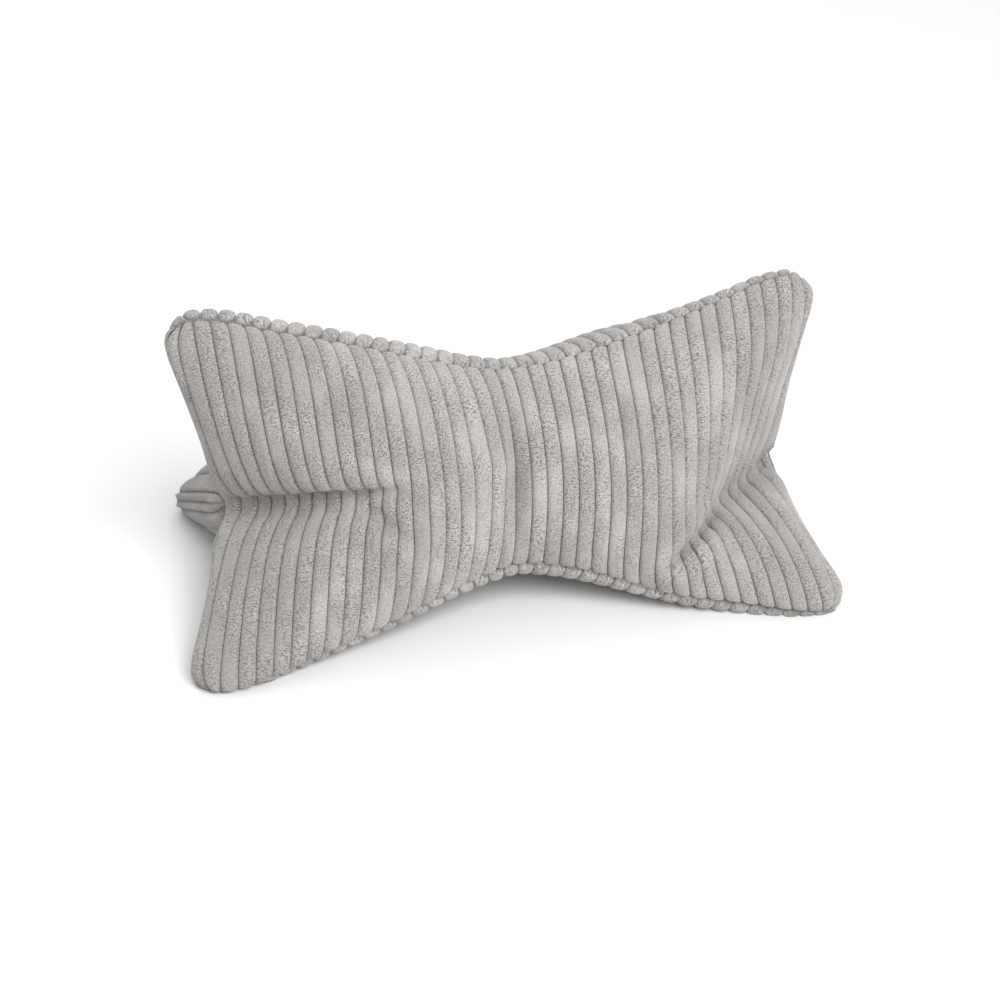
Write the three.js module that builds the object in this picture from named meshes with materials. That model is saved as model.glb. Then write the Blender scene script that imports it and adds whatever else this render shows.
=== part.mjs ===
// Headrest cushion: three bone-shaped panels of broad-wale corduroy sewn edge to edge and filled.
// Millimetres, +Z up, +X along the cushion, the front panel towards -Y. It stands at z = 0 on the
// lobes of its base panel. The cloth's shape comes from relaxing the three flat panels, sewn
// together, under the push of the filling, with the creases of its ends told by a table.
import * as THREE from "three";

// The flat panel: s runs along the cushion, b from -1 to 1 across it.
const panelLength = 404;
const leftLobe = 154.5;    // half width of the lobes at the left end
const rightLobe = 144.5;   // and at the right end
const waistHalf = 64;      // half width of the waist
const leftFlare = 1.25;    // exponent of the widening from waist to lobe at the left end
const rightFlare = 1.42;   // and at the right end
const levelFrom = 0.76;    // where the long edge starts to level off, of the half length
const levelBy = 14;        // and by how much at the tip
const tipRound = 20;       // radius of the lobes' tips
const endBow = 10;         // how far the end edge bows out in its middle

// The wales run across the panel, from long edge to long edge.
const walePitch = 10;
const wholeWales = 37;     // of even pitch; beyond them each end has endWales that follow its edge
const endWales = 2;
const ribHeight = 2.8;     // of a wale's crown over its groove
const seamPinch = 0.055;   // share of the half width over which the wales die into a seam
const sunk = 4;            // how far the cloth and its crowns flatten where the cushion stands
const waistRise = 14;      // how far the firm filling carries the waist above the relaxed cloth's

// Where each panel faces, degrees round the cushion's long axis from the rear towards the top.
const panels = [
  { name: "front", facing: 150 },
  { name: "back", facing: 30 },
  { name: "base", facing: -90 },
];
// The creases that run in from the ends: outer and inner are their b at the end and at their inner
// tip, reach their length and fall how far they sink below the long axis over it, else 0. tilt turns
// the plane that the cloth folds against. press and low, else 1, are their depth, and fade the share
// of the reach over which they die out.
const creases = [
  { panel: 0, end: -1, reach: 104, outer: -0.04, inner: -0.12, tilt: 9, press: 0.95, fade: 0.8 },
  { panel: 0, end: +1, reach: 56, outer: 0, inner: -0.3, fall: 22, tilt: 20, press: 0.9, low: 0.5, fade: 0.6 },
  { panel: 1, end: -1, reach: 90, outer: 0, inner: 0.06, tilt: 9, press: 0.8, fade: 0.45 },
  { panel: 1, end: +1, reach: 100, outer: 0, inner: -0.05, tilt: 8, press: 0.8, fade: 0.45 },
  { panel: 2, end: -1, reach: 120, outer: 0, inner: 0, tilt: 0, press: 0.8, fade: 0.8 },
  { panel: 2, end: +1, reach: 120, outer: 0, inner: 0, tilt: 8, press: 0.8, fade: 0.8 },
];
const creaseGap = 3.4;     // half the gap between the two sides of a crease
const creaseWidth = 7;     // how far from its line a crease is pressed in
const fadeExtra = 0.05;    // a crease is pressed in to this share past its reach
// Over the steep crease the filling keeps the cloth smooth: in each pass a point goes up to share of
// the way to its neighbours' mean, less with the distance from (s, t) and within clear of the crease.
const smooth = { crease: 1, s: 182, t: 14, along: 28, over: 30, share: 0.5, passes: 4, clear: 8 };
// How high the front tips stay once the filling has settled: the edge b = side of a panel, at one end.
const settledTips = [
  { panel: 0, end: -1, side: -1, height: 2 },
  { panel: 2, end: -1, side: +1, height: 2 },
  { panel: 0, end: +1, side: -1, height: 6 },
  { panel: 2, end: +1, side: +1, height: 6 },
];
const tipReach = 30;       // how much cloth comes down with such a tip
const tipShare = 0.3;      // how much of its way it comes in one step

// The relaxing runs: columns a wale, rows a panel, steps, the filling's push, damping, weight.
const runs = [
  { fine: 1, rows: 24, steps: 300, push: 0.0015, damp: 0.85, weight: 0, floor: false },
  { fine: 1, rows: 24, steps: 300, push: 0.0006, damp: 0.9, weight: 0, floor: false },
  { fine: 1, rows: 24, steps: 400, push: 0.0006, damp: 0.9, weight: 0.0035, floor: true },
  { fine: 2, rows: 48, steps: 300, push: 0.0007, damp: 0.9, weight: 0.0035, floor: true },
];
// Neighbours tied in the cloth: columns and rows away, stiffness when stretched and when squeezed.
const ties = [
  { di: 1, dj: 0, pull: 1, squeeze: 0.5 },
  { di: 0, dj: 1, pull: 1, squeeze: 0.5 },
  { di: 1, dj: 1, pull: 0.35, squeeze: 0.25 },
  { di: 1, dj: -1, pull: 0.35, squeeze: 0.25 },
  { di: 2, dj: 0, pull: 0.1, squeeze: 0.1 },
  { di: 0, dj: 2, pull: 0.16, squeeze: 0.16 },
];
// The first guess at the filled shape, as shares of the half width and of the length.
const guess = { full: 1.08, middle: 0.95, shorter: 0.93 };

// One wale of the solid: how far across it and how high; and the rows kept, counted from the middle.
const waleSteps = [
  { across: 0, high: 0 },
  { across: 0.27, high: 1 },
  { across: 0.73, high: 1 },
];
const keptRows = [0, 3, 7, 11, 15, 18, 21, 23, 24];

const clip = (x, low, high) => Math.min(high, Math.max(low, x));
const radians = THREE.MathUtils.degToRad;

// Where a round tip ends on the long edge and goes on on the end edge, as a share of its radius.
const tipMiddle = Math.SQRT1_2;
const roundOff = (x) => tipRound * (1 - Math.sqrt(1 - x * x));

function halfWidth(s) {
  const u = Math.abs(s) / (panelLength / 2);
  const lobe = s < 0 ? leftLobe : rightLobe;
  const level = levelBy * Math.max(0, (u - levelFrom) / (1 - levelFrom)) ** 2;
  const round = roundOff(clip((Math.abs(s) - panelLength / 2) / tipRound + 1, 0, tipMiddle));
  return waistHalf + (lobe - waistHalf) * u ** (s < 0 ? leftFlare : rightFlare) - level - round;
}

function endReach(b) {
  const q = Math.abs(b);
  const corner = (leftLobe + rightLobe) / 2 - levelBy;
  const t = q * (corner - roundOff(tipMiddle));
  const round = roundOff(clip((t - corner) / tipRound + 1, 0, tipMiddle));
  return panelLength / 2 + endBow * Math.sqrt(1 - q * q) - round;
}

// The flat panel's grid. Whole wales lie at s = const, and the end wales spread up to the end edge.
function flatPanel(fine, rows) {
  const last = (wholeWales * walePitch) / 2;
  const cols = (wholeWales + 2 * endWales) * fine;
  const endCols = endWales * fine;
  const grid = { nu: cols + 1, nv: rows + 1, s: [], t: [] };
  for (let i = 0; i <= cols; i++)
    for (let j = 0; j <= rows; j++) {
      const b = -1 + (2 * j) / rows;
      const reach = endReach(b);
      let s = -last + ((i - endCols) / fine) * walePitch;
      if (i < endCols) s = -reach - ((last - reach) * i) / endCols;
      if (i > cols - endCols) s = reach + ((last - reach) * (cols - i)) / endCols;
      grid.s.push(s);
      grid.t.push(b * halfWidth(s));
    }
  return grid;
}

// Where a point of panel k, column i, row j starts in the array of all three panels.
const at = (F, k, i, j) => 3 * ((k * F.nu + i) * F.nv + j);

// A first guess: three lobes about the long axis, already closed at the seams.
function firstShape(F) {
  const X = new Float64Array(9 * F.nu * F.nv);
  const far = Math.max(...F.s.map(Math.abs));
  for (let k = 0; k < 3; k++)
    for (let i = 0; i < F.nu; i++)
      for (let j = 0; j < F.nv; j++) {
        const s = F.s[i * F.nv + j];
        const b = -1 + (2 * j) / (F.nv - 1);
        const full = guess.full * halfWidth(s);
        const mid = guess.middle * full * Math.sqrt(Math.max(0, 1 - (Math.abs(s) / far) ** 3));
        const r = mid + (full - mid) * Math.abs(b) ** 1.2;
        const angle = radians(panels[k].facing - 60 * b);
        X.set([guess.shorter * s, r * Math.cos(angle), r * Math.sin(angle)], at(F, k, i, j));
      }
  join(F, X, 1 / 2, 1 / 3);
  return X;
}

// The sewing: two sewn points take share times their sum, an end's pole poleShare times its three's.
function join(F, X, share, poleShare) {
  const { nu, nv } = F;
  const half = (nv - 1) / 2;
  const pair = (p, q) => {
    for (let c = 0; c < 3; c++) X[p + c] = X[q + c] = share * (X[p + c] + X[q + c]);
  };
  for (let k = 0; k < 3; k++)
    for (let i = 1; i < nu - 1; i++) pair(at(F, k, i, nv - 1), at(F, (k + 1) % 3, i, 0));
  for (const i of [0, nu - 1]) {
    for (let k = 0; k < 3; k++)
      for (let j = half + 1; j < nv; j++) pair(at(F, k, i, j), at(F, (k + 1) % 3, i, nv - 1 - j));
    const poles = [0, 1, 2].map((k) => at(F, k, i, half));
    for (let c = 0; c < 3; c++) {
      const m = poleShare * poles.reduce((sum, p) => sum + X[p + c], 0);
      for (const p of poles) X[p + c] = m;
    }
  }
}

// Area normals: half the cross product of each cell's diagonals, a quarter of it to each corner.
function areaNormals(F, X) {
  const N = new Float64Array(X.length);
  for (let k = 0; k < 3; k++)
    for (let i = 0; i < F.nu - 1; i++)
      for (let j = 0; j < F.nv - 1; j++) {
        const [a, b] = [at(F, k, i, j), at(F, k, i + 1, j)];
        const [c, d] = [at(F, k, i, j + 1), at(F, k, i + 1, j + 1)];
        const [x1, y1, z1] = [X[d] - X[a], X[d + 1] - X[a + 1], X[d + 2] - X[a + 2]];
        const [x2, y2, z2] = [X[c] - X[b], X[c + 1] - X[b + 1], X[c + 2] - X[b + 2]];
        const n = [y1 * z2 - z1 * y2, z1 * x2 - x1 * z2, x1 * y2 - y1 * x2];
        for (const p of [a, b, c, d]) for (let m = 0; m < 3; m++) N[p + m] += n[m] / 8;
      }
  join(F, N, 1, 1);
  return N;
}

// The ties of one panel, in sets in which no point occurs twice.
function tieSets(F) {
  const sets = [];
  for (const tie of ties)
    for (const odd of [0, 1]) {
      const pairs = [];
      for (let i = 0; i + tie.di < F.nu; i++)
        for (let j = Math.max(0, -tie.dj); j + Math.max(0, tie.dj) < F.nv; j++) {
          const step = tie.di ? Math.floor(i / tie.di) : Math.floor(j / tie.dj);
          if (step % 2 !== odd) continue;
          const p = i * F.nv + j;
          const q = (i + tie.di) * F.nv + j + tie.dj;
          pairs.push([3 * p, 3 * q, Math.hypot(F.s[q] - F.s[p], F.t[q] - F.t[p])]);
        }
      sets.push({ pull: tie.pull, squeeze: tie.squeeze, pairs });
    }
  return sets;
}

// Moves each tied pair towards its flat distance.
function pullTies(F, X, sets) {
  const panelSize = 3 * F.nu * F.nv;
  for (const set of sets)
    for (let k = 0; k < 3; k++)
      for (const [p0, q0, rest] of set.pairs) {
        const p = k * panelSize + p0;
        const q = k * panelSize + q0;
        const [x, y, z] = [X[q] - X[p], X[q + 1] - X[p + 1], X[q + 2] - X[p + 2]];
        const l = Math.sqrt(x * x + y * y + z * z) + 1e-9;
        const w = ((l > rest ? set.pull : set.squeeze) * (l - rest)) / (2 * l);
        X[p] += w * x;
        X[p + 1] += w * y;
        X[p + 2] += w * z;
        X[q] -= w * x;
        X[q + 1] -= w * y;
        X[q + 2] -= w * z;
      }
}

// For each crease the points near it: which side they keep to, how far apart, and how low they press.
function creaseTerms(F) {
  return creases.map((f) => {
    const { fall = 0, low = 1 } = f;
    const angle = radians(panels[f.panel].facing + f.tilt);
    const points = [];
    for (let i = 0; i < F.nu; i++)
      for (let j = 0; j < F.nv; j++) {
        const p = i * F.nv + j;
        const u = (panelLength / 2 - F.s[p] * f.end) / f.reach;
        if (u > 1 + fadeExtra) continue;
        const inward = clip(u, 0, 1);
        const d = F.t[p] - (f.outer + (f.inner - f.outer) * inward) * halfWidth(F.s[p]);
        const depth = f.press * inward ** 0.8 + (1 - f.press) * inward ** 0.3;
        const opening = Math.min(creaseGap, 0.8 * Math.abs(d)) * clip((1 - u) / f.fade, 0, 1);
        const g = clip((1 + fadeExtra - u) / (f.fade + fadeExtra), 0, 1);
        points.push({
          o: at(F, f.panel, i, j),
          side: Math.sign(d),
          level: -fall * inward,
          apart: u > 1 ? -Infinity : opening,
          low: waistHalf * low * depth,
          weight: 0.5 * Math.exp(-((d / creaseWidth) ** 2)) * g * g * (3 - 2 * g),
        });
      }
    const across = [Math.sin(angle), -Math.cos(angle)];
    const outward = [Math.cos(angle), Math.sin(angle)];
    return { across, outward, points };
  });
}

function keepCreases(X, terms) {
  const count = X.length / 3;
  let [cy, cz] = [0, 0];
  for (let o = 0; o < X.length; o += 3) {
    cy += X[o + 1] / count;
    cz += X[o + 2] / count;
  }
  for (const { across, outward, points } of terms)
    for (const p of points) {
      const y = X[p.o + 1] - cy;
      const z = X[p.o + 2] - cz;
      const above = y * across[0] + z * across[1] - p.level;
      const miss = p.side * Math.max(0, p.apart - above * p.side);
      const high = p.weight * Math.max(0, y * outward[0] + z * outward[1] - p.low);
      X[p.o + 1] += miss * across[0] - high * outward[0];
      X[p.o + 2] += miss * across[1] - high * outward[1];
    }
}

// The points that the filling keeps smooth over the steep crease, each with its share of the way.
function smoothTerms(F) {
  const f = creases[smooth.crease];
  const points = [];
  for (let i = 1; i < F.nu - 1; i++)
    for (let j = 1; j < F.nv - 1; j++) {
      const p = i * F.nv + j;
      const inward = clip((panelLength / 2 - F.s[p] * f.end) / f.reach, 0, 1);
      const d = F.t[p] - (f.outer + (f.inner - f.outer) * inward) * halfWidth(F.s[p]);
      const far = ((F.s[p] - smooth.s) / smooth.along) ** 2 + ((F.t[p] - smooth.t) / smooth.over) ** 2;
      const share = smooth.share * Math.exp(-far) * clip(d / smooth.clear, 0, 1);
      if (share > 1e-6) points.push({ o: at(F, f.panel, i, j), share });
    }
  return points;
}

function keepSmooth(F, X, points) {
  const [row, col] = [3, 3 * F.nv];
  for (let pass = 0; pass < smooth.passes; pass++) {
    const W = X.slice();
    for (const { o, share } of points)
      for (let m = o; m < o + 3; m++) {
        const mean = (W[m - row] + W[m + row] + W[m - col] + W[m + col]) / 4;
        X[m] += share * (mean - W[m]);
      }
  }
}

function tipTerms(F) {
  return settledTips.map((r) => {
    const i = r.end < 0 ? 0 : F.nu - 1;
    const j = r.side < 0 ? 0 : F.nv - 1;
    const tip = i * F.nv + j;
    const points = F.s.map((s, p) => {
      const far = Math.hypot(s - F.s[tip], F.t[p] - F.t[tip]);
      return { o: at(F, r.panel, 0, 0) + 3 * p, weight: tipShare * Math.exp(-((far / tipReach) ** 2)) };
    });
    return { tip: at(F, r.panel, i, j), height: r.height, points };
  });
}

// The tips come down, and what meets the floor stays on it and half loses its slide.
function settle(X, prev, tips) {
  for (const t of tips) {
    const over = Math.max(0, X[t.tip + 2] - t.height);
    for (const p of t.points) X[p.o + 2] -= p.weight * over;
  }
  for (let o = 0; o < X.length; o += 3)
    if (X[o + 2] < 0) {
      X[o] = (X[o] + prev[o]) / 2;
      X[o + 1] = (X[o + 1] + prev[o + 1]) / 2;
      X[o + 2] = 0;
    }
}

function relax(F, X, run) {
  const sets = tieSets(F);
  const terms = creaseTerms(F);
  const smoothed = smoothTerms(F);
  const tips = tipTerms(F);
  let prev = X.slice();
  for (let step = 0; step < run.steps; step++) {
    const N = areaNormals(F, X);
    const was = X.slice();
    for (let o = 0; o < X.length; o++) X[o] += (X[o] - prev[o]) * run.damp + run.push * N[o];
    for (let o = 2; o < X.length; o += 3) X[o] -= run.weight;
    prev = was;
    pullTies(F, X, sets);
    keepCreases(X, terms);
    keepSmooth(F, X, smoothed);
    if (run.floor) settle(X, prev, tips);
    join(F, X, 1 / 2, 1 / 3);
  }
}

// Catmull-Rom weights of the points round place x on a line of n points. Past the line's ends a
// missing neighbour is the straight continuation of the two points before it.
function splineAt(n, x) {
  const i = Math.min(Math.floor(x), n - 2);
  const f = x - i;
  const w = [
    (-f + 2 * f ** 2 - f ** 3) / 2,
    (2 - 5 * f ** 2 + 3 * f ** 3) / 2,
    (f + 4 * f ** 2 - 3 * f ** 3) / 2,
    (f ** 3 - f ** 2) / 2,
  ];
  if (i === 0) [w[0], w[1], w[2]] = [0, w[1] + 2 * w[0], w[2] - w[0]];
  if (i === n - 2) [w[1], w[2], w[3]] = [w[1] - w[3], w[2] + 2 * w[3], 0];
  return w.map((share, m) => [i - 1 + m, share]).filter(([, share]) => share !== 0);
}

// The same cloth on a finer grid.
function refine(F, X, G) {
  const Y = new Float64Array(9 * G.nu * G.nv);
  for (let k = 0; k < 3; k++)
    for (let i = 0; i < G.nu; i++)
      for (let j = 0; j < G.nv; j++)
        for (const [a, wa] of splineAt(F.nu, (i * (F.nu - 1)) / (G.nu - 1)))
          for (const [b, wb] of splineAt(F.nv, (j * (F.nv - 1)) / (G.nv - 1)))
            for (let c = 0; c < 3; c++) Y[at(G, k, i, j) + c] += wa * wb * X[at(F, k, a, b) + c];
  return Y;
}

function lowerToFloor(X) {
  let low = Infinity;
  for (let o = 2; o < X.length; o += 3) low = Math.min(low, X[o]);
  for (let o = 2; o < X.length; o += 3) X[o] -= low;
}

// The whole section rises by waistRise * (1 - (x / far)^2)^2, so the ends stay on the floor.
function raiseWaist(X) {
  let far = 0;
  for (let o = 0; o < X.length; o += 3) far = Math.max(far, Math.abs(X[o]));
  for (let o = 0; o < X.length; o += 3) X[o + 2] += waistRise * (1 - (X[o] / far) ** 2) ** 2;
}

// All the runs, from the flat panels to the filled cushion on the floor.
function filledCloth() {
  let F = flatPanel(runs[0].fine, runs[0].rows);
  let X = firstShape(F);
  let onFloor = false;
  for (const run of runs) {
    if (run.floor && !onFloor) lowerToFloor(X);
    onFloor = run.floor;
    const G = flatPanel(run.fine, run.rows);
    if (G.nu !== F.nu) X = refine(F, X, G);
    F = G;
    relax(F, X, run);
  }
  raiseWaist(X);
  return { F, X, fine: runs[runs.length - 1].fine };
}

// The solid: the wales raised along the normals, dying into the seams, flattened where it stands.
function solid() {
  const { F, X, fine } = filledCloth();
  const N = areaNormals(F, X);
  const half = (F.nv - 1) / 2;
  const rows = [...keptRows.slice(1).reverse().map((r) => half - r), ...keptRows.map((r) => half + r)];
  const columns = [];
  const wales = wholeWales + 2 * endWales;
  for (let w = 0; w < wales; w++)
    for (const q of waleSteps) columns.push({ x: (w + q.across) * fine, high: q.high });
  columns.push({ x: wales * fine, high: 0 });

  const points = [];
  const known = new Map();
  const put = (p) => {
    const key = p.map((v) => Math.round(v * 1000)).join();
    if (!known.has(key)) {
      known.set(key, points.length / 3);
      points.push(...p);
    }
    return known.get(key);
  };
  const triangles = [];
  for (let k = 0; k < 3; k++) {
    const grid = columns.map(({ x, high }) => rows.map((j) => {
      const p = [0, 0, 0];
      const n = [0, 0, 0];
      for (const [a, w] of splineAt(F.nu, x))
        for (let c = 0; c < 3; c++) {
          p[c] += w * X[at(F, k, a, j) + c];
          n[c] += w * N[at(F, k, a, j) + c];
        }
      const fromSeam = 1 - Math.abs(j - half) / half;
      const raise = (ribHeight * high * clip(fromSeam / seamPinch, 0, 1)) / (Math.hypot(...n) || 1);
      const z = p[2] + raise * n[2] + ribHeight - sunk;
      return put([p[0] + raise * n[0], p[1] + raise * n[1], Math.max(0, z)]);
    }));
    for (let i = 0; i + 1 < grid.length; i++)
      for (let j = 0; j + 1 < rows.length; j++) {
        const [a, b, c, d] = [grid[i][j], grid[i + 1][j], grid[i + 1][j + 1], grid[i][j + 1]];
        for (const t of [[a, b, c], [a, c, d]]) if (new Set(t).size === 3) triangles.push(...t);
      }
  }
  const geometry = new THREE.BufferGeometry();
  geometry.setAttribute("position", new THREE.Float32BufferAttribute(points, 3));
  geometry.setIndex(triangles);
  geometry.computeBoundingBox();
  const { min, max } = geometry.boundingBox;
  geometry.translate(-(min.x + max.x) / 2, -(min.y + max.y) / 2, 0);
  geometry.computeVertexNormals();
  return geometry;
}

const corduroy = new THREE.MeshStandardMaterial({ color: 0xaaa49f, roughness: 0.95, metalness: 0 });
const cushion = new THREE.Mesh(solid(), corduroy);
cushion.name = "cushion";

const headrest = new THREE.Group();
headrest.add(cushion);

export default headrest;
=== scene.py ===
# Headrest cushion in broad-wale cord velvet: three bone-shaped panels, sewn and filled.
# The cloth is relaxed here with numpy from the flat panels, as the frame's solid was, then its wales,
# seams and pile are made on it. Metres in Blender, millimetres while the cloth is worked out.
import math

import bpy
import numpy as np
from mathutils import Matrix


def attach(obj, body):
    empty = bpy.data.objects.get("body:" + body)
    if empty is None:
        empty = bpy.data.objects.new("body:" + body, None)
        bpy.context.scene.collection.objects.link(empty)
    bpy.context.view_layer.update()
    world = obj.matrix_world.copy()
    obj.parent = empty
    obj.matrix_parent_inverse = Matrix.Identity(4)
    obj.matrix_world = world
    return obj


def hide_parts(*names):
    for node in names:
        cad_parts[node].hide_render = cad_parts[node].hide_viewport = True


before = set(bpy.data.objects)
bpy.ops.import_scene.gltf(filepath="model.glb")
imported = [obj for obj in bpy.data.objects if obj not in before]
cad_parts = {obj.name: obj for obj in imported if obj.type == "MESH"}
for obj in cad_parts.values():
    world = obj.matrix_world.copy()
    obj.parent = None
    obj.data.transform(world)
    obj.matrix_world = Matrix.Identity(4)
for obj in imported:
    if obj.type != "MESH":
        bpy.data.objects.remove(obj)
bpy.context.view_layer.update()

# Cutting pattern: s runs along a panel, b from -1 to 1 across it
pattern = dict(
    length=404.0, leftLobe=154.5, rightLobe=144.5, waistHalf=64.0,
    leftFlare=1.25, rightFlare=1.42,       # exponents of the widening from waist to lobe
    levelFrom=0.76, levelBy=14.0,          # where a long edge starts to level off, and by how much it does
    tipRound=20.0, endBow=10.0,            # radius of the tips, and how far an end edge bows out
    wale=10.0, wholeWales=37, endWales=2,  # the end wales spread up to the end edge
    facing=(150.0, 30.0, -90.0),           # front, back and base panel, degrees round the long axis
)
# Creases that run in from the ends: line from b = outer to b = inner over reach, fall of that line
# below the long axis, tilt of the plane that the cloth folds against, press and low for depth, fade
# for the share of the reach that it dies out over
creases = [
    dict(panel=0, end=-1, reach=104, outer=-0.04, inner=-0.12, fall=0, tilt=9, press=0.95, low=1, fade=0.8),
    dict(panel=0, end=+1, reach=56, outer=0.0, inner=-0.3, fall=22, tilt=20, press=0.9, low=0.5, fade=0.6),
    dict(panel=1, end=-1, reach=90, outer=0.0, inner=0.06, fall=0, tilt=9, press=0.8, low=1, fade=0.45),
    dict(panel=1, end=+1, reach=100, outer=0.0, inner=-0.05, fall=0, tilt=8, press=0.8, low=1, fade=0.45),
    dict(panel=2, end=-1, reach=120, outer=0.0, inner=0.0, fall=0, tilt=0, press=0.8, low=1, fade=0.8),
    dict(panel=2, end=+1, reach=120, outer=0.0, inner=0.0, fall=0, tilt=8, press=0.8, low=1, fade=0.8),
]
# Over the steep crease the filling keeps the cloth smooth, most at (s, t) and not within clear of it
smooth = dict(crease=1, s=182.0, t=14.0, along=28.0, over=30.0, share=0.5, passes=4, clear=8.0)
# Front tips once the filling has settled: which edge of which panel, and their height
settledTips = [
    dict(panel=0, end=-1, side=-1, height=2),
    dict(panel=2, end=-1, side=+1, height=2),
    dict(panel=0, end=+1, side=-1, height=6),
    dict(panel=2, end=+1, side=+1, height=6),
]
cloth = dict(
    creaseGap=3.4, creaseShare=0.8,    # cloth keeps so far off a fold's plane, or so much of its distance
    creaseWidth=7.0, creasePress=0.5,  # how wide a crease is pressed, and by what share a step
    creaseDepth=(0.8, 0.3),            # exponents of its depth along its line, for press 1 and press 0
    fadeExtra=0.05,                    # how much further the pressing reaches than the fold
    tipReach=30.0, tipShare=0.3,       # cloth that comes down with a settled tip, and by what share a step
    guessFull=1.08, guessMiddle=0.95, guessShorter=0.93, guessDome=3, guessSides=1.2,
    waistRise=14.0,                    # how far the firm filling carries the waist above the relaxed cloth
    quickRuns=3,
    runs=[
        dict(fine=1, rows=24, steps=300, push=0.0015, damp=0.85, weight=0.0, floor=False),
        dict(fine=1, rows=24, steps=300, push=0.0006, damp=0.9, weight=0.0, floor=False),
        dict(fine=1, rows=24, steps=400, push=0.0006, damp=0.9, weight=0.0035, floor=True),
        dict(fine=2, rows=48, steps=300, push=0.0007, damp=0.9, weight=0.0035, floor=True),
    ],
    # neighbours tied together: columns and rows away, stiffness stretched and squeezed
    ties=[(1, 0, 1.0, 0.5), (0, 1, 1.0, 0.5), (1, 1, 0.35, 0.25), (1, -1, 0.35, 0.25),
          (2, 0, 0.10, 0.10), (0, 2, 0.16, 0.16)],
)
facing = np.radians(pattern["facing"])
nextPanel = (1, 2, 0)
clothMiddle = (2.44, 13.96)  # of the relaxed cloth, which the frame has over its origin
tipMiddle = math.sqrt(0.5)  # where a round tip passes from the long edge to the end edge


def roundOff(x):
    # depth of a quarter circle of the tips' radius at share x of it
    return pattern["tipRound"] * (1 - np.sqrt(1 - x * x))


def halfWidth(s):
    # waist + (lobe - waist) * |s/half|^flare, less a square term that levels the edge off near its
    # tip, less the round tip up to its middle
    half = pattern["length"] / 2
    u = np.abs(s) / half
    lobe = np.where(s < 0, pattern["leftLobe"], pattern["rightLobe"])
    flare = np.where(s < 0, pattern["leftFlare"], pattern["rightFlare"])
    nearTip = np.clip((u - pattern["levelFrom"]) / (1 - pattern["levelFrom"]), 0, None)
    level = pattern["levelBy"] * nearTip ** 2
    x = np.clip((np.abs(s) - half) / pattern["tipRound"] + 1, 0, tipMiddle)
    return pattern["waistHalf"] + (lobe - pattern["waistHalf"]) * u ** flare - level - roundOff(x)


def endReach(b):
    # half length + bow * sqrt(1 - b^2), less the other half of the round tip
    q = np.abs(b)
    corner = (pattern["leftLobe"] + pattern["rightLobe"]) / 2 - pattern["levelBy"]
    t = q * (corner - roundOff(tipMiddle))
    y = np.clip((t - corner) / pattern["tipRound"] + 1, 0, tipMiddle)
    return pattern["length"] / 2 + pattern["endBow"] * np.sqrt(1 - q * q) - roundOff(y)


def flatPanel(fine, rows):
    # (s, t) of the grid: whole wales at s = const, the end wales spread up to the end edge,
    # t = b * halfWidth(s)
    last = pattern["wholeWales"] * pattern["wale"] / 2
    b = np.linspace(-1, 1, rows + 1)[None]
    part = np.linspace(0, 1, pattern["endWales"] * fine, endpoint=False)[:, None]
    left = -(endReach(b) + (last - endReach(b)) * part)
    inner = np.linspace(-last, last, pattern["wholeWales"] * fine + 1)[:, None] + 0 * b
    s = np.concatenate([left, inner, -left[::-1]])
    return np.stack([s, b * halfWidth(s)], -1)


def sew(cloth3, share=0.5, poleShare=1 / 3):
    # sewn points take share * their sum: long edge b=+1 of each panel with b=-1 of the next, each
    # end's upper half with the next one's lower half reversed, and the three poles together
    h = cloth3.shape[2] // 2
    for k, n in enumerate(nextPanel):
        both = share * (cloth3[k, 1:-1, -1] + cloth3[n, 1:-1, 0])
        cloth3[k, 1:-1, -1] = both
        cloth3[n, 1:-1, 0] = both
    for e in (0, -1):
        for k, n in enumerate(nextPanel):
            both = share * (cloth3[k, e, h + 1:] + cloth3[n, e, :h][::-1])
            cloth3[k, e, h + 1:] = both
            cloth3[n, e, :h] = both[::-1]
        cloth3[:, e, h] = poleShare * cloth3[:, e, h].sum(0)
    return cloth3


def areaNormals(points):
    # half the cross product of each cell's diagonals, a quarter of it to each of its corners
    d1 = points[:, 1:, 1:] - points[:, :-1, :-1]
    d2 = points[:, :-1, 1:] - points[:, 1:, :-1]
    cell = np.cross(d1, d2) / 8
    total = np.zeros_like(points)
    total[:, 1:, 1:] += cell
    total[:, :-1, :-1] += cell
    total[:, :-1, 1:] += cell
    total[:, 1:, :-1] += cell
    return sew(total, 1.0, 1.0)


def firstShape(flat):
    # three lobes about the long axis: the radius grows with |b|^1.2 from a domed middle to the seams,
    # angle = facing - 60 b
    b = np.linspace(-1, 1, flat.shape[1])[None]
    s = flat[..., 0]
    full = cloth["guessFull"] * halfWidth(s)
    dome = np.sqrt(np.clip(1 - (np.abs(s) / np.abs(s).max()) ** cloth["guessDome"], 0, 1))
    mid = cloth["guessMiddle"] * full * dome
    r = mid + (full - mid) * np.abs(b) ** cloth["guessSides"]
    angle = facing[:, None, None] - np.pi / 3 * b
    x = cloth["guessShorter"] * s + 0 * angle
    return sew(np.stack([x, r * np.cos(angle), r * np.sin(angle)], -1))


def tieSets(flat):
    # indices of every tied pair, in sets in which no point occurs twice, with their flat distances
    sets = []
    for di, dj, pull, squeeze in cloth["ties"]:
        for odd in (0, 1):
            i = np.arange(flat.shape[0] - di)
            j = np.arange(max(0, -dj), flat.shape[1] - max(0, dj))
            if di:
                i = i[(i // di) % 2 == odd]
            else:
                j = j[(j // dj) % 2 == odd]
            i, j = np.ix_(i, j)
            rest = np.linalg.norm(flat[i + di, j + dj] - flat[i, j], axis=-1)
            sets.append((i, j, i + di, j + dj, rest, pull, squeeze))
    return sets


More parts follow.
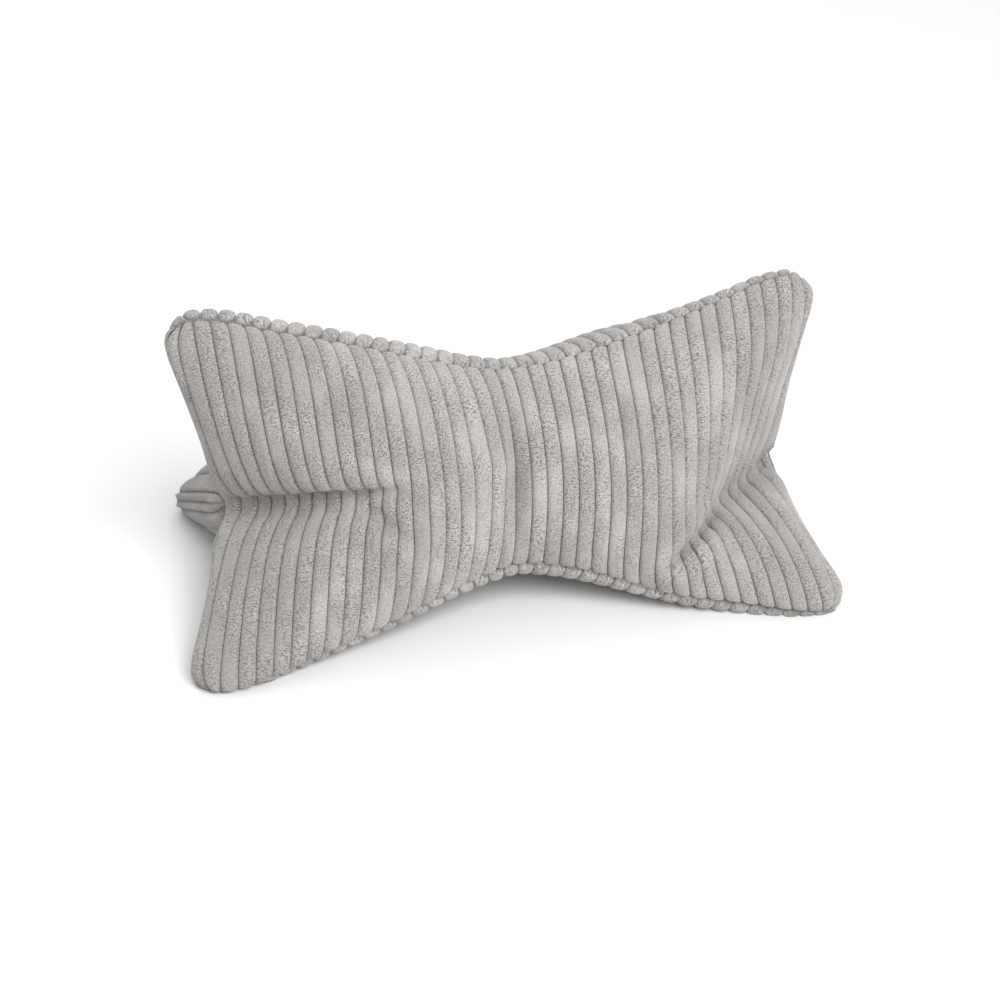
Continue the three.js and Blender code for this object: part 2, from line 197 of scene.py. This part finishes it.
def pullTies(points, sets):
    # each point of a pair moves half of stiffness * (distance - rest) along their line
    for i, j, i2, j2, rest, pull, squeeze in sets:
        a, b = points[:, i, j], points[:, i2, j2]
        d = b - a
        far = np.sqrt((d * d).sum(-1)) + 1e-9  # never quite zero
        move = d * (np.where(far > rest, pull, squeeze) * 0.5 * (far - rest) / far)[..., None]
        points[:, i, j] = a + move
        points[:, i2, j2] = b - move


def creaseTerms(flat):
    # per crease: the side each point keeps to and by how much, the height it is pressed to,
    # waist * low * (press * inward^0.8 + (1 - press) * inward^0.3), and how hard
    s, t = flat[..., 0], flat[..., 1]
    late, early = cloth["creaseDepth"]
    terms = []
    for f in creases:
        u = (pattern["length"] / 2 - s * f["end"]) / f["reach"]
        inward = np.clip(u, 0, 1)
        d = t - (f["outer"] + (f["inner"] - f["outer"]) * inward) * halfWidth(s)
        apart = np.minimum(cloth["creaseGap"], cloth["creaseShare"] * np.abs(d))
        apart = apart * np.clip((1 - u) / f["fade"], 0, 1)
        g = np.clip((1 + cloth["fadeExtra"] - u) / (f["fade"] + cloth["fadeExtra"]), 0, 1)
        depth = f["press"] * inward ** late + (1 - f["press"]) * inward ** early
        near = np.exp(-(d / cloth["creaseWidth"]) ** 2)
        angle = facing[f["panel"]] + math.radians(f["tilt"])
        terms.append(dict(
            panel=f["panel"], d=d, side=np.sign(d), apart=np.where(u > 1, -np.inf, apart),
            level=-f["fall"] * inward, low=pattern["waistHalf"] * f["low"] * depth,
            weight=cloth["creasePress"] * near * g * g * (3 - 2 * g),
            across=np.array([0, math.sin(angle), -math.cos(angle)]),
            outward=np.array([0, math.cos(angle), math.sin(angle)])))
    return terms


def keepCreases(points, terms):
    # cloth that has crossed a fold's plane goes back to its side, and what is too high is pressed in
    centre = points.mean((0, 1, 2)) * (0, 1, 1)
    for c in terms:
        p = points[c["panel"]]
        q = p - centre
        above = q @ c["across"] - c["level"]
        miss = np.clip(c["apart"] - above * c["side"], 0, None) * c["side"]
        high = np.clip(q @ c["outward"] - c["low"], 0, None) * c["weight"]
        p += miss[..., None] * c["across"] - high[..., None] * c["outward"]


def smoothShare(flat, terms):
    # share * exp(-far^2), less near the crease: how far a point goes to its neighbours' mean
    far = ((flat - (smooth["s"], smooth["t"])) / (smooth["along"], smooth["over"])) ** 2
    over = np.clip(terms[smooth["crease"]]["d"] / smooth["clear"], 0, 1)
    return (smooth["share"] * np.exp(-far.sum(-1)) * over)[1:-1, 1:-1, None]


def keepSmooth(points, share):
    # each point goes a share of the way to the mean of its four neighbours
    p = points[creases[smooth["crease"]]["panel"]]
    for _ in range(smooth["passes"]):
        mean = (p[:-2, 1:-1] + p[2:, 1:-1] + p[1:-1, :-2] + p[1:-1, 2:]) / 4
        p[1:-1, 1:-1] += share * (mean - p[1:-1, 1:-1])


def tipTerms(flat):
    # how much of a tip's way down each point of its panel goes: share * exp(-(distance/reach)^2)
    terms = []
    for tip in settledTips:
        i, j = (0 if tip["end"] < 0 else -1), (0 if tip["side"] < 0 else -1)
        far2 = ((flat - flat[i, j]) ** 2).sum(-1)
        weight = cloth["tipShare"] * np.exp(-far2 / cloth["tipReach"] ** 2)
        terms.append((tip["panel"], i, j, tip["height"], weight))
    return terms


def settle(points, before, tips):
    # the tips come down to their height; what meets the floor stays on it and loses half its slide
    for k, i, j, height, weight in tips:
        points[k, ..., 2] -= weight * max(0.0, points[k, i, j, 2] - height)
    under = points[..., 2] < 0
    points[..., :2] = np.where(under[..., None], (points[..., :2] + before[..., :2]) / 2, points[..., :2])
    points[..., 2] = np.clip(points[..., 2], 0, None)


def relax(flat, points, run):
    # Verlet steps: carry on the last move, push along the area normals, weigh, then keep the cloth's
    # lengths, its creases, the floor and the sewing
    sets, terms, tips = tieSets(flat), creaseTerms(flat), tipTerms(flat)
    share = smoothShare(flat, terms)
    before = points.copy()
    for _ in range(run["steps"]):
        here = points.copy()
        points = points + (points - before) * run["damp"] + run["push"] * areaNormals(points)
        points[..., 2] -= run["weight"]
        before = here
        pullTies(points, sets)
        keepCreases(points, terms)
        keepSmooth(points, share)
        if run["floor"]:
            settle(points, before, tips)
        sew(points)
    return points


def splineRows(n, x):
    # matrix whose rows are the Catmull-Rom weights of places x on a line of n points; past the ends
    # the missing neighbour is the straight continuation of the last two
    i = np.minimum(np.floor(x).astype(int), n - 2)
    f = x - i
    w = [
        (-f + 2 * f**2 - f**3) / 2,
        (2 - 5 * f**2 + 3 * f**3) / 2,
        (f + 4 * f**2 - 3 * f**3) / 2,
        (f**3 - f**2) / 2,
    ]
    m = np.zeros((len(x), n + 2))
    for k in range(4):
        m[np.arange(len(x)), i + k] += w[k]
    out = m[:, 1:-1].copy()
    out[:, 0] += 2 * m[:, 0]
    out[:, 1] -= m[:, 0]
    out[:, -1] += 2 * m[:, -1]
    out[:, -2] -= m[:, -1]
    return out


def resample(points, columns, rows):
    # the same surface at places columns and rows of its grid
    a, b = splineRows(points.shape[1], columns), splineRows(points.shape[2], rows)
    return np.einsum("ci,kijx,rj->kcrx", a, points, b, optimize=True)


def filledCloth():
    # the flat panels and the relaxed cloth, whose waist is then raised by waistRise * (1 - (x/far)^2)^2
    runs = cloth["runs"]
    flat = flatPanel(runs[0]["fine"], runs[0]["rows"])
    points = firstShape(flat)
    onFloor = False
    for run in runs:
        finer = flatPanel(run["fine"], run["rows"])
        if finer.shape != flat.shape:
            c = np.linspace(0, flat.shape[0] - 1, finer.shape[0])
            r = np.linspace(0, flat.shape[1] - 1, finer.shape[1])
            points = resample(points, c, r)
            flat = finer
        if run["floor"] and not onFloor:
            points[..., 2] -= points[..., 2].min()
        onFloor = run["floor"]
        points = relax(flat, points, run)
        print("cloth relaxed,", run["steps"], "steps, box mm", np.ptp(points, axis=(0, 1, 2)).round(1))
    far = np.abs(points[..., 0]).max()
    points[..., 2] += cloth["waistRise"] * (1 - (points[..., 0] / far) ** 2) ** 2
    return flat, points


# Wales and seams on the relaxed cloth
wales = dict(
    across=(0, 0.03, 0.08, 0.16, 0.27, 0.385, 0.5, 0.615, 0.73, 0.84, 0.92, 0.97),  # columns of a wale
    offset=(0, 0.5, 0.5),     # of each panel's wales at the seams
    evenFrom=0.97,            # share of the way to the seam where the columns start to spread evenly
    readings=24,              # how many times a wale the relaxed cloth is read
    rows=64, crowding=0.5,    # rows a panel, and how much closer they lie at the seams
    height=3.4, sunk=4.0,     # of a crown over its groove, and how far it flattens on the floor
    flat=3.0, steep=0.55,     # exponents of the crown's flatness and of its sides
    sway=dict(size=0.3, length=37.0, bend=1.7, wale=0.9, panel=2.1),  # wander of the pile's pattern
    # for each panel's lower and upper seam, at the left end, the waist and the right end: how far the
    # panel swells beside the seam, and how far from it the ends of its wales round off
    puff=(
        ((3.5, 0.8, 0.3), (0.8, 0.3, 0.6)),
        ((4.5, 2.2, 2.5), (1, 1, 1)),
        ((1, 1, 1), (0.3, 3.6, 3.0)),
    ),
    ends=(
        ((5, 2.5, 4), (8, 2.5, 4)),
        ((7, 2.5, 3), (5, 5, 5)),
        ((5, 5, 5), (2.5, 1.4, 1.8)),
    ),
    puffFrom=6.5,             # distance from the seam where it swells most
    puffEnd=12.0,             # how near the end edge the swelling dies out
    cordEnd=2.5,              # and the cord's height
)
# Soft hollow down the front's middle, and the wales beside it pushed over sideways, which dies out
# within clear of a seam
trough = dict(size=6.5, s=-8.0, along=8.0, t=-10.0, over=34.0, power=2)
kink = dict(size=4.5, s=-18.0, along=13.0, t=3.0, over=36.0, power=1, clear=20.0)


def walePlaces(b):
    # where each column of each panel lies, in wales from the end: crowded at its grooves, and even at
    # the seams, where the panels share their points
    step = len(wales["across"])
    count = pattern["wholeWales"] + 2 * pattern["endWales"]
    even = np.arange(count * step + 1) / step
    line = (np.arange(count + 2)[:, None] + np.array(wales["across"])[None]).ravel()
    nearSeam = np.clip((np.abs(b) - wales["evenFrom"]) / (1 - wales["evenFrom"]), 0, 1)
    places = []
    for offset in wales["offset"]:
        shift = int(offset * step)
        own = line[shift:shift + len(even)] - offset
        places.append(own[:, None] * (1 - nearSeam) + even[:, None] * nearSeam)
    return np.stack(places)


def besideSeams(table, s, b):
    # a table's values at s, from the lower seam's row for b < 0 and the upper seam's for b > 0
    u = s / pattern["length"] * 2
    values = []
    for k, rows in enumerate(table):
        lower, upper = (np.interp(u[k], (-1, 0, 1), row) for row in rows)
        values.append(np.where(b < 0, lower, upper))
    return np.stack(values)


def bell(shape, s, t):
    # size * exp(-x^2 - |y|^power) round the shape's place (s, t)
    x, y = (s - shape["s"]) / shape["along"], (t - shape["t"]) / shape["over"]
    return shape["size"] * np.exp(-x * x - np.abs(y) ** shape["power"])


def readCloth(place, b):
    # the relaxed cloth and its flat (s, t), read evenly many times a wale and then between the two
    # readings beside each place
    flat, points = filledCloth()
    rows = (b + 1) / 2 * (flat.shape[1] - 1)
    readings = wales["readings"]
    count = (pattern["wholeWales"] + 2 * pattern["endWales"]) * readings
    dense = np.linspace(0, flat.shape[0] - 1, count + 1)
    smoothCloth = resample(points, dense, rows)
    smoothFlat = resample(flat[None], dense, rows)[0]
    i = np.minimum((place * readings).astype(int), count - 1)
    f = (place * readings - i)[..., None]
    k = np.arange(3)[:, None, None]
    r = np.arange(len(rows))[None, None, :]
    shape = smoothCloth[k, i, r] * (1 - f) + smoothCloth[k, i + 1, r] * f
    st = smoothFlat[i, r] * (1 - f) + smoothFlat[i + 1, r] * f
    return shape, st


def cushionGrid():
    # each panel's grid: its columns are walePlaces, and its rows b = (1 + a) x - a x^2 either way from
    # the middle lie closer at the seams
    x = np.linspace(-1, 1, wales["rows"] + 1)
    a = wales["crowding"]
    b = np.sign(x) * ((1 + a) * np.abs(x) - a * x * x)
    place = walePlaces(b)
    shape, st = readCloth(place, b)

    # unit normals of the smooth cloth
    n = areaNormals(shape)
    n /= np.linalg.norm(n, axis=-1, keepdims=True) + 1e-12

    # swelling beside the long seams, puff * d/w * e^(1-d/w), and the hollow in the front
    s, t = st[..., 0], st[..., 1]
    fromSeam = (1 - np.abs(b)) * halfWidth(s)
    fromEnd = endReach(b) - np.abs(s)
    near = fromSeam / wales["puffFrom"]
    proud = besideSeams(wales["puff"], s, b) * near * np.exp(1 - near)
    proud *= np.clip(fromEnd / wales["puffEnd"], 0, 1)
    proud[0] -= bell(trough, s[0], t[0])

    # height of the cord: (1 - |2f-1|^p - y^2)^q across each wale, where y runs up over a wale's end
    across = place + np.array(wales["offset"])[:, None, None]
    side = np.abs(2 * (across - np.floor(across)) - 1)
    y = 1 - np.clip(fromSeam / besideSeams(wales["ends"], s, b), 0, 1)
    raised = (1 - np.clip(side ** wales["flat"] + y ** 2, 0, 1)) ** wales["steep"]
    raised *= np.clip(fromEnd / wales["cordEnd"], 0, 1)
    cord = shape + n * (proud + wales["height"] * raised)[..., None]
    cord[0, ..., 0] += bell(kink, s[0], t[0]) * np.clip(fromSeam[0] / kink["clear"], 0, 1)
    cord[..., 2] = np.clip(cord[..., 2] + wales["height"] - wales["sunk"], 0, None)

    # wander of the pattern: size * sin(t/length + bend * sin(wale * its number + panel * its number))
    sway = wales["sway"]
    own = np.sin(np.floor(place) * sway["wale"] + np.arange(3)[:, None, None] * sway["panel"])
    across += sway["size"] / pattern["wale"] * np.sin(t / sway["length"] + sway["bend"] * own)

    # to the frame's place and to metres: the solid stands over the same middle
    cord[..., :2] -= clothMiddle
    cord /= 1000
    return cord, st, across, raised


def joinPanels(cord):
    # one vertex for each sewn pair, pole and tip: points at the same micrometre share an index
    keys = np.round(cord.reshape(-1, 3) * 1e6).astype(np.int64)
    _, first, back = np.unique(keys, axis=0, return_index=True, return_inverse=True)
    index = back.reshape(cord.shape[:3])
    quads = np.stack([index[:, :-1, :-1], index[:, 1:, :-1], index[:, 1:, 1:], index[:, :-1, 1:]], -1)
    return first, quads.reshape(-1, 4)


panelsApart = 50  # wales between the numbers of one panel's and the next one's in the UV map


def buildCushion():
    cord, st, across, raised = cushionGrid()
    first, quads = joinPanels(cord)
    mesh = bpy.data.meshes.new("cushion_cover")
    mesh.from_pydata(cord.reshape(-1, 3)[first].tolist(), [], quads.tolist())

    # loop attributes straight from the grid: wale number and place along it, and the cord's height
    k, i, j = np.indices((3, cord.shape[1] - 1, cord.shape[2] - 1))
    corner = [(k, i, j), (k, i + 1, j), (k, i + 1, j + 1), (k, i, j + 1)]
    u = np.stack([across[c] + panelsApart * c[0] for c in corner], -1).ravel()
    v = np.stack([st[c[0], c[1], c[2], 1] / pattern["wale"] for c in corner], -1).ravel()
    uv = mesh.uv_layers.new(name="cord")
    uv.uv.foreach_set("vector", np.stack([u, v], -1).astype(np.float32).ravel())
    level = mesh.attributes.new("level", "FLOAT", "CORNER")
    level.data.foreach_set("value", np.stack([raised[c] for c in corner], -1).astype(np.float32).ravel())
    mesh.polygons.foreach_set("use_smooth", np.ones(len(mesh.polygons), bool))
    mesh.update()
    mesh.validate()
    cushion = bpy.data.objects.new("cushion_cover", mesh)
    bpy.context.scene.collection.objects.link(cushion)
    print("cushion:", len(mesh.vertices), "points,", len(mesh.polygons), "faces")
    return cushion


# Cord velvet. Patterns read the UV map "cord": u counts wales, v runs along them in wale widths
velvet = dict(
    # the dark tone is also where the painted shade at the ends and in the front's hollow pulls the colour
    light=(0.447, 0.425, 0.409), dark=(0.345, 0.326, 0.313),  # pile brushed one way and the other
    # painted shade colour down in the grooves between the wales
    grooveShade=(0.15, 0.138, 0.13), grooveShadeTo=0.45,  # down in the grooves, up to this share of the height
    roughness=0.9, specular=0.15, sheen=0.55, sheenRoughness=0.4,
    strokes=0.46,                     # how dark the gaps between tufts are
    relief=0.0012, reliefShare=0.8,   # depth of the tufts, in metres, and how much of it shows
    napShare=0.6,                     # how light the brushed stretches and the clouds each make the nap
    # painted shade: darker towards the ends, where the lobes turn from the light, and on the two wales that
    # meet at hollowAt in the front's hollow, which face away from it: from how many wales away to how many,
    # and by how much
    endsFrom=4.0, endsTo=19.0, endsShadeBy=0.55,
    hollowAt=20.0, hollowFrom=0.7, hollowTo=1.3, hollowShadeBy=0.5,
)
# Noises on the cord's map: how often they turn in a wale's width across and along, and which of their
# values are spread over what, 0 to 1 where nothing is said
mottles = dict(
    stretches=dict(stretch=(0.73, 0.3), between=(0.34, 0.66)),
    clouds=dict(stretch=(0.16, 0.13), between=(0.36, 0.64)),
    patches=dict(stretch=(0.55, 0.3), between=(0.36, 0.58), to=(0.3, 1.0)),
    lying=dict(stretch=(0.41, 0.21), between=(0.5, 0.56)),
    tufts=dict(stretch=(10.0, 11.5), between=(0.32, 0.5), detail=0.0, distortion=0.6),
    strokesAcross=dict(stretch=(5.2, 13.5), between=(0.32, 0.5), detail=0.0, distortion=0.6),
    grain=dict(stretch=(9.0, 9.0), between=(0.35, 0.65), to=(0.84, 1.12), detail=3.0),
)


def node(tree, kind, **settings):
    # a new node with its inputs and its own settings given by name
    made = tree.nodes.new(kind)
    for name, value in settings.items():
        if name in made.inputs:
            made.inputs[name].default_value = value
        else:
            setattr(made, name, value)
    return made


def feed(tree, made, **sockets):
    # links sockets into a node by the names of its inputs
    for name, socket in sockets.items():
        tree.links.new(socket, made.inputs[name])
    return made


def ramp(tree, value, fromLow, fromHigh, toLow=0.0, toHigh=1.0):
    # value's run from fromLow to fromHigh as a smooth run from toLow to toHigh
    limits = {"From Min": fromLow, "From Max": fromHigh, "To Min": toLow, "To Max": toHigh}
    made = node(tree, "ShaderNodeMapRange", interpolation_type="SMOOTHSTEP", **limits)
    return feed(tree, made, Value=value).outputs[0]


def mottle(tree, place, stretch, between, to=(0.0, 1.0), detail=2.0, distortion=0.0):
    # noise on a place scaled by stretch, its values within between spread smoothly over to
    scaled = feed(tree, node(tree, "ShaderNodeMapping", Scale=(*stretch, 1)), Vector=place)
    made = node(tree, "ShaderNodeTexNoise", Scale=1.0, Detail=detail, Roughness=0.55, Distortion=distortion)
    noise = feed(tree, made, Vector=scaled.outputs[0]).outputs["Fac"]
    return ramp(tree, noise, *between, *to)


def calc(tree, operation, a, b):
    # one Math node on two values, each a socket or a number
    made = node(tree, "ShaderNodeMath", operation=operation)
    for socket, value in zip(made.inputs, (a, b)):
        if isinstance(value, (int, float)):
            socket.default_value = value
        else:
            tree.links.new(value, socket)
    return made.outputs[0]


def blendColours(tree, share, a, b, kind="MIX"):
    # a mix node on two colours, each a socket or a plain colour; share is a socket or a number
    made = node(tree, "ShaderNodeMix", data_type="RGBA", blend_type=kind)
    for index, value in ((0, share), (6, a), (7, b)):
        if isinstance(value, tuple):
            made.inputs[index].default_value = (*value, 1)
        elif isinstance(value, float):
            made.inputs[index].default_value = value
        else:
            tree.links.new(value, made.inputs[index])
    return made.outputs[2]


def apartFrom(tree, value, place):
    # |value - place|
    return calc(tree, "ABSOLUTE", calc(tree, "SUBTRACT", value, place), 0.0)


def velvetMaterial():
    material = bpy.data.materials.new("cord_velvet")
    material.use_nodes = True
    tree = material.node_tree
    shader = tree.nodes["Principled BSDF"]
    shader.inputs["Roughness"].default_value = velvet["roughness"]
    shader.inputs["Sheen Weight"].default_value = velvet["sheen"]
    shader.inputs["Sheen Roughness"].default_value = velvet["sheenRoughness"]
    shader.inputs["Specular IOR Level"].default_value = velvet["specular"]

    uv = node(tree, "ShaderNodeUVMap", uv_map="cord").outputs["UV"]
    level = node(tree, "ShaderNodeAttribute", attribute_name="level").outputs["Fac"]
    u, v = feed(tree, node(tree, "ShaderNodeSeparateXYZ"), Vector=uv).outputs[:2]

    # nap: each wale is brushed in stretches of its own, and broader clouds run across them
    whole = calc(tree, "FLOOR", u, 0.0)
    perWale = feed(tree, node(tree, "ShaderNodeCombineXYZ"), X=whole, Y=v).outputs[0]
    brushed = calc(tree, "MULTIPLY", mottle(tree, perWale, **mottles["stretches"]), velvet["napShare"])
    clouds = calc(tree, "MULTIPLY", mottle(tree, uv, **mottles["clouds"]), velvet["napShare"])
    # painted shade: the colour is pulled darker towards the ends, where the lobes turn from the light
    middleWale = pattern["wholeWales"] / 2 + pattern["endWales"]
    fromMiddle = apartFrom(tree, calc(tree, "MODULO", u, panelsApart), middleWale)
    ends = ramp(tree, fromMiddle, velvet["endsFrom"], velvet["endsTo"], 0.0, velvet["endsShadeBy"])
    # painted shade on the two wales in the front's hollow, which face away from the light
    fromHollow = apartFrom(tree, u, velvet["hollowAt"])
    hollowShade = ramp(tree, fromHollow, velvet["hollowFrom"], velvet["hollowTo"], velvet["hollowShadeBy"], 0.0)
    napAndShade = calc(tree, "SUBTRACT", calc(tree, "ADD", brushed, clouds), ends)
    napAndShade = calc(tree, "SUBTRACT", napAndShade, hollowShade)
    colour = blendColours(tree, napAndShade, velvet["dark"], velvet["light"])

    # tufts with dark gaps where a noise runs low, more in some patches, and strokes across the wale
    # where the pile lies over
    patches = mottle(tree, uv, **mottles["patches"])
    lying = mottle(tree, perWale, **mottles["lying"])
    upright = mottle(tree, uv, **mottles["tufts"])
    across = mottle(tree, uv, **mottles["strokesAcross"])
    tufts = node(tree, "ShaderNodeMix", data_type="FLOAT")
    for index, value in ((0, lying), (2, upright), (3, across)):
        tree.links.new(value, tufts.inputs[index])
    gap = calc(tree, "MULTIPLY", calc(tree, "SUBTRACT", 1.0, tufts.outputs[0]), patches)
    colour = blendColours(tree, gap, colour, tuple(velvet["strokes"] * c for c in velvet["light"]))
    grain = mottle(tree, uv, **mottles["grain"])
    colour = blendColours(tree, 1.0, colour, grain, "MULTIPLY")

    # painted shade down in the grooves: it shows only right down between the wales
    pile = ramp(tree, level, 0.0, velvet["grooveShadeTo"])
    colour = blendColours(tree, pile, velvet["grooveShade"], colour)
    tree.links.new(colour, shader.inputs["Base Color"])

    # relief of the tufts
    relief = node(tree, "ShaderNodeBump", Strength=velvet["reliefShare"], Distance=velvet["relief"])
    feed(tree, relief, Height=calc(tree, "SUBTRACT", grain, gap))
    tree.links.new(relief.outputs[0], shader.inputs["Normal"])
    return material


# Camera at the photograph's angle, floor and soft light
shot = dict(
    azimuth=10.948, elevation=30.236,      # degrees that it looks to the right and down
    distance=1.2747, aim=(-0.00093, -0.01396, 0.05559),
    pixelsPerMm=1.514,                     # at the aim, in a picture of 1000 pixels
    film=36.0,                             # width in mm
)
studio = dict(
    floor=(0.82, 0.82, 0.82), floorHalf=12.0, floorRoughness=0.9,
    world=(1.0, 1.0, 1.0), worldStrength=0.68,
    key=dict(place=(0.5, -1.5, 1.5), size=1.2, watts=43.0),
    fill=dict(place=(-0.2, 1.7, 2.2), size=2.4, watts=30.0),
)


def addCamera():
    # looks along (sin az cos el, cos az cos el, -sin el) at aim, from distance behind it
    az, el = math.radians(shot["azimuth"]), math.radians(shot["elevation"])
    look = np.array([math.sin(az) * math.cos(el), math.cos(az) * math.cos(el), -math.sin(el)])
    camera = bpy.data.objects.new("camera", bpy.data.cameras.new("camera"))
    bpy.context.scene.collection.objects.link(camera)
    camera.location = np.array(shot["aim"]) - shot["distance"] * look
    camera.rotation_euler = (math.pi / 2 - el, 0, -az)
    camera.data.sensor_width = shot["film"]
    camera.data.lens = shot["pixelsPerMm"] * shot["distance"] * shot["film"]
    bpy.context.scene.camera = camera


def addLight(name, place, size, watts):
    # a square area light at place that faces the origin
    light = bpy.data.lights.new(name, "AREA")
    light.energy, light.size = watts, size
    holder = bpy.data.objects.new(name, light)
    bpy.context.scene.collection.objects.link(holder)
    holder.location = place
    x, y, z = (-np.array(place)) / np.linalg.norm(place)
    holder.rotation_euler = (math.acos(-z), 0, math.atan2(-x, y))


def addStudio():
    far = studio["floorHalf"]
    mesh = bpy.data.meshes.new("floor")
    mesh.from_pydata([(-far, -far, 0), (far, -far, 0), (far, far, 0), (-far, far, 0)], [], [(0, 1, 2, 3)])
    floor = bpy.data.objects.new("floor", mesh)
    bpy.context.scene.collection.objects.link(floor)
    paper = bpy.data.materials.new("studio_floor")
    paper.use_nodes = True
    shader = paper.node_tree.nodes["Principled BSDF"]
    shader.inputs["Base Color"].default_value = (*studio["floor"], 1)
    shader.inputs["Roughness"].default_value = studio["floorRoughness"]
    mesh.materials.append(paper)
    world = bpy.data.worlds.new("studio")
    world.use_nodes = True
    background = world.node_tree.nodes["Background"]
    background.inputs["Color"].default_value = (*studio["world"], 1)
    background.inputs["Strength"].default_value = studio["worldStrength"]
    bpy.context.scene.world = world
    bpy.context.scene.view_settings.view_transform = "Standard"
    addLight("key", **studio["key"])
    addLight("fill", **studio["fill"])


cover = buildCushion()
cover.data.materials.append(velvetMaterial())
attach(cover, "root")
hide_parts("cushion")
print("cover made")
addCamera()
addStudio()
print("studio set")
